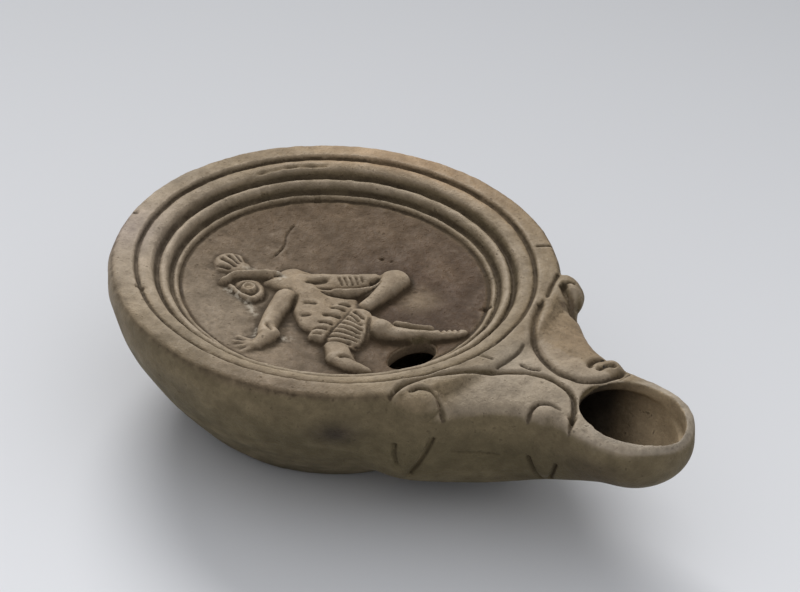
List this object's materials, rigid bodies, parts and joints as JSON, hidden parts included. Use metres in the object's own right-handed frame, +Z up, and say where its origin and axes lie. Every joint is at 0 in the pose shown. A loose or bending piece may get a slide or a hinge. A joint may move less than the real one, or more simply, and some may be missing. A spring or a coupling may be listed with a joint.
{
  "type": "oil lamp",
  "caption": "Hollow clay oil lamp: round body with a sunk disc and relief figure, filling hole, and a volute nozzle with a wide wick hole.",
  "frame": {"origin": "centre of the flat base, under the middle of the sunk disc", "axes": "+X from the body's centre to the nozzle's tip, +Z up out of the disc, +Y to the left seen from behind the body towards the nozzle"},
  "size_m": [0.1076, 0.0752, 0.0271],
  "materials": {
    "fired_clay": "matte, worn and patinated"
  },
  "bodies": {
    "root": {"lamp_body": "fired_clay"}
  },
  "joints": []
}
